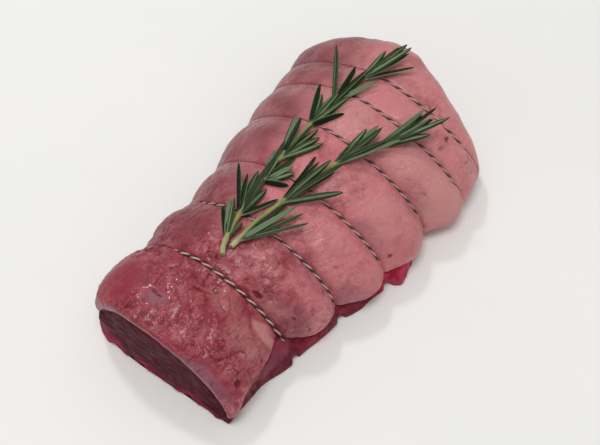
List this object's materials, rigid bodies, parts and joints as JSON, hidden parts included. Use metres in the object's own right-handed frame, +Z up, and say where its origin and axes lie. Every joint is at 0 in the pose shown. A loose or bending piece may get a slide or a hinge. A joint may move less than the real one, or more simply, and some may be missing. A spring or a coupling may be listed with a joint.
{
  "type": "picanha joint",
  "caption": "Raw picanha tied as a roasting joint: a dark lean core under a lobed pink fat cap, cinched by loops of twine, with rosemary sprigs on top.",
  "frame": {"origin": "on the flat underside of the lean, about the middle of the length, at the level of the board it rests on", "axes": "+X along the joint from the butcher's cut end to the rounded heel, +Y to its left side, +Z up through the fat cap"},
  "size_m": [0.2298, 0.1318, 0.0588],
  "materials": {
    "lean": "raw lean beef, dark and moist, with the grain of the muscle showing on the cut end",
    "fat": "raw pink fat and silverskin, mottled, craggy and moist",
    "twine": "two-ply black and white butcher's twine, damp",
    "rosemary": "fresh rosemary, dark green needles with pale undersides on a yellow-green stem"
  },
  "bodies": {
    "root": {"lean_meat": "lean", "fat_cap": "fat", "twine_1": "twine", "twine_2": "twine", "twine_3": "twine", "twine_4": "twine", "twine_5": "twine", "twine_6": "twine", "rosemary_left": "rosemary", "rosemary_right": "rosemary"}
  },
  "joints": []
}
